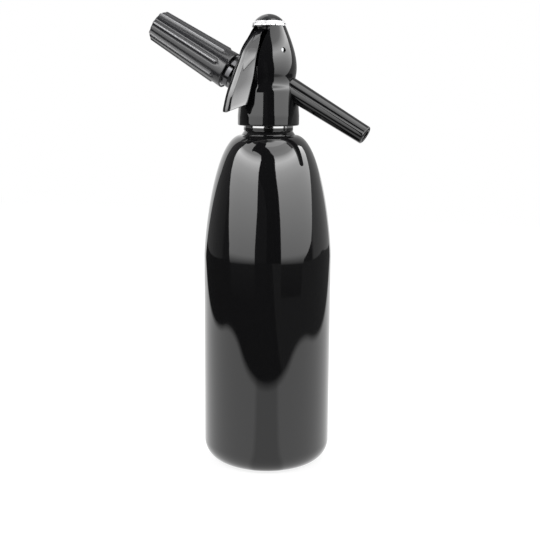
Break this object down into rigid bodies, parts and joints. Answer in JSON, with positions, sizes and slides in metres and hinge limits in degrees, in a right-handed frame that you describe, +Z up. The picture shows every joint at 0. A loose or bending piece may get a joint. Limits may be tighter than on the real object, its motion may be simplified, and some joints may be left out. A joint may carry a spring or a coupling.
{
  "type": "soda siphon",
  "caption": "Bottle with a screw-on head, squeeze lever, slanting spout and ribbed screw-on gas charger holder, for making and pouring sparkling water.",
  "frame": {"origin": "centre of the bottle's foot, on the bottle's axis and in the plane that it stands on", "axes": "+Z up along the bottle's axis, +X towards the spout, +Y to the left of someone who faces the way the spout points"},
  "size_m": [0.1718, 0.095, 0.3383],
  "materials": {
    "bottle_lacquer": "gloss",
    "head_black": "gloss",
    "lever_black": "gloss",
    "holder_black": "satin",
    "dome_grey": "gloss",
    "chrome_ring": "polished",
    "pale_metal": "satin",
    "bright_steel": "satin",
    "brass": "satin",
    "seal_rubber": "matte",
    "red_rubber": "matte",
    "white_plastic": "satin",
    "clear_tube": "satin"
  },
  "bodies": {
    "bottle": {"bottle": "bottle_lacquer", "neck_ring": "bottle_lacquer"},
    "tube_set": {"riser_tube": "clear_tube", "measuring_tube": "white_plastic", "tube_collar": "white_plastic"},
    "head": {"head_body": "head_black", "thread_insert": "pale_metal", "head_gasket": "seal_rubber", "valve_body": "pale_metal", "riser_seal": "seal_rubber", "gland_nut": "brass", "stem_seal": "seal_rubber", "valve_spring": "bright_steel", "lever_pin": "bright_steel", "spout": "head_black", "spout_connector": "pale_metal", "spout_seal": "seal_rubber", "charger_boss": "pale_metal", "boss_seal": "seal_rubber", "piercing_pin": "bright_steel", "non_return_valve": "red_rubber"},
    "lever": {"lever_shell": "lever_black", "lever_yoke": "bright_steel", "lever_rivets": "bright_steel"},
    "plunger": {"plunger": "brass", "plunger_seal": "seal_rubber"},
    "dome": {"top_dome": "dome_grey"},
    "cap_ring": {"cap_ring": "chrome_ring"},
    "charger": {"gas_cartridge": "bright_steel"},
    "holder": {"charger_holder": "holder_black", "holder_liner": "pale_metal", "holder_pad": "seal_rubber"}
  },
  "joints": [
    {"name": "head_lift", "type": "slide", "parent": "bottle", "child": "tube_set", "axis": [0, 0, 1], "range_m": [0, 0.012]},
    {"name": "head_turn", "type": "hinge", "parent": "tube_set", "child": "head", "pos_m": [0, 0, 0.26], "axis": [0, 0, 1], "range_deg": [0, 1440]},
    {"name": "lever_press", "type": "hinge", "parent": "head", "child": "lever", "pos_m": [0, 0, 0.309], "axis": [0.8192, -0.5736, 0], "range_deg": [0, 4.5], "stiffness_Nm_per_rad": 0.8, "springref_deg": -28.65},
    {"name": "plunger_slide", "type": "slide", "parent": "head", "child": "plunger", "axis": [0, 0, -1], "range_m": [0, 0.0004], "deforming": ["valve_spring"]},
    {"name": "charger_lift", "type": "slide", "parent": "head", "child": "charger", "axis": [-0.866, 0, 0.5], "range_m": [0, 0.01]},
    {"name": "holder_turn", "type": "hinge", "parent": "charger", "child": "holder", "pos_m": [0, 0, 0.27661], "axis": [-0.866, 0, 0.5], "range_deg": [0, 1440]},
    {"name": "cap_lift", "type": "slide", "parent": "head", "child": "dome", "axis": [0, 0, 1], "range_m": [0, 0.003]},
    {"name": "cap_turn", "type": "hinge", "parent": "dome", "child": "cap_ring", "pos_m": [0, 0, 0.328], "axis": [0, 0, 1], "range_deg": [0, 1080]}
  ],
  "couplings": [
    {"joint": "head_lift", "follows": "head_turn", "m_per_rad": 0.00047746},
    {"joint": "plunger_slide", "follows": "lever_press", "m_per_rad": 0.005},
    {"joint": "holder_turn", "follows": "charger_lift", "rad_per_m": 2513.3},
    {"joint": "cap_lift", "follows": "cap_turn", "m_per_rad": 0.00015915}
  ]
}
